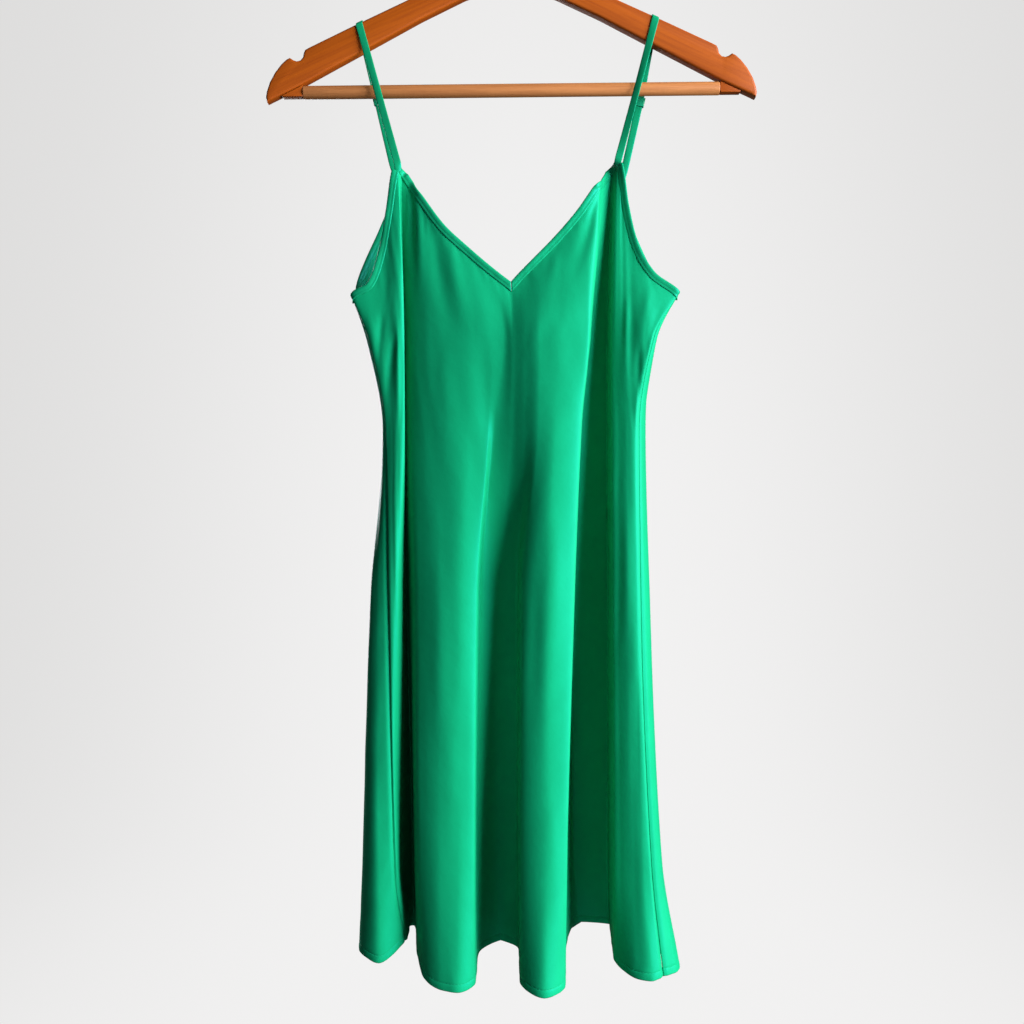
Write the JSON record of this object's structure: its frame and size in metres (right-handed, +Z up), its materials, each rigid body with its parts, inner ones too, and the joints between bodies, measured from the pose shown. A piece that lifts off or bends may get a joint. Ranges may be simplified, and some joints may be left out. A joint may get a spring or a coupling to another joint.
{
  "type": "slip dress on a wooden trouser-bar hanger",
  "caption": "Green satin slip dress with V neck, bound armholes and adjustable straps, hanging in deep folds from a wooden hanger with a trouser bar and a wire hook.",
  "frame": {"origin": "the inner top of the hook, where the rail that carries the hanger touches it", "axes": "+Z up, +X to the right seen from the front, the front of the dress faces -Y"},
  "size_m": [0.4459, 0.1612, 0.9836],
  "materials": {
    "satin": "soft satin, even emerald green, sheen along the folds",
    "binding": "self-fabric satin strip, edge stitched",
    "strap": "self-fabric satin tube, pressed flat",
    "slider": "green enamel, half gloss",
    "ring": "bright plated",
    "lacquered_wood": "orange-brown clear lacquer, fine grain",
    "bar_wood": "pale turned wood, thin lacquer",
    "steel": "bright plated"
  },
  "bodies": {
    "root": {"front_panel": "satin", "back_panel": "satin", "front_neck_binding_left": "binding", "back_neck_binding_left": "binding", "front_armhole_binding_left": "binding", "back_armhole_binding_left": "binding", "strap_left": "strap", "ring_tab_left": "strap", "slider_left": "slider", "strap_ring_left": "ring", "hanger_arm_left": "lacquered_wood", "bar_block_left": "lacquered_wood", "front_neck_binding_right": "binding", "back_neck_binding_right": "binding", "front_armhole_binding_right": "binding", "back_armhole_binding_right": "binding", "strap_right": "strap", "ring_tab_right": "strap", "slider_right": "slider", "strap_ring_right": "ring", "hanger_arm_right": "lacquered_wood", "bar_block_right": "lacquered_wood", "trouser_bar": "bar_wood", "hook_ferrule": "steel", "hook": "steel"}
  },
  "joints": []
}
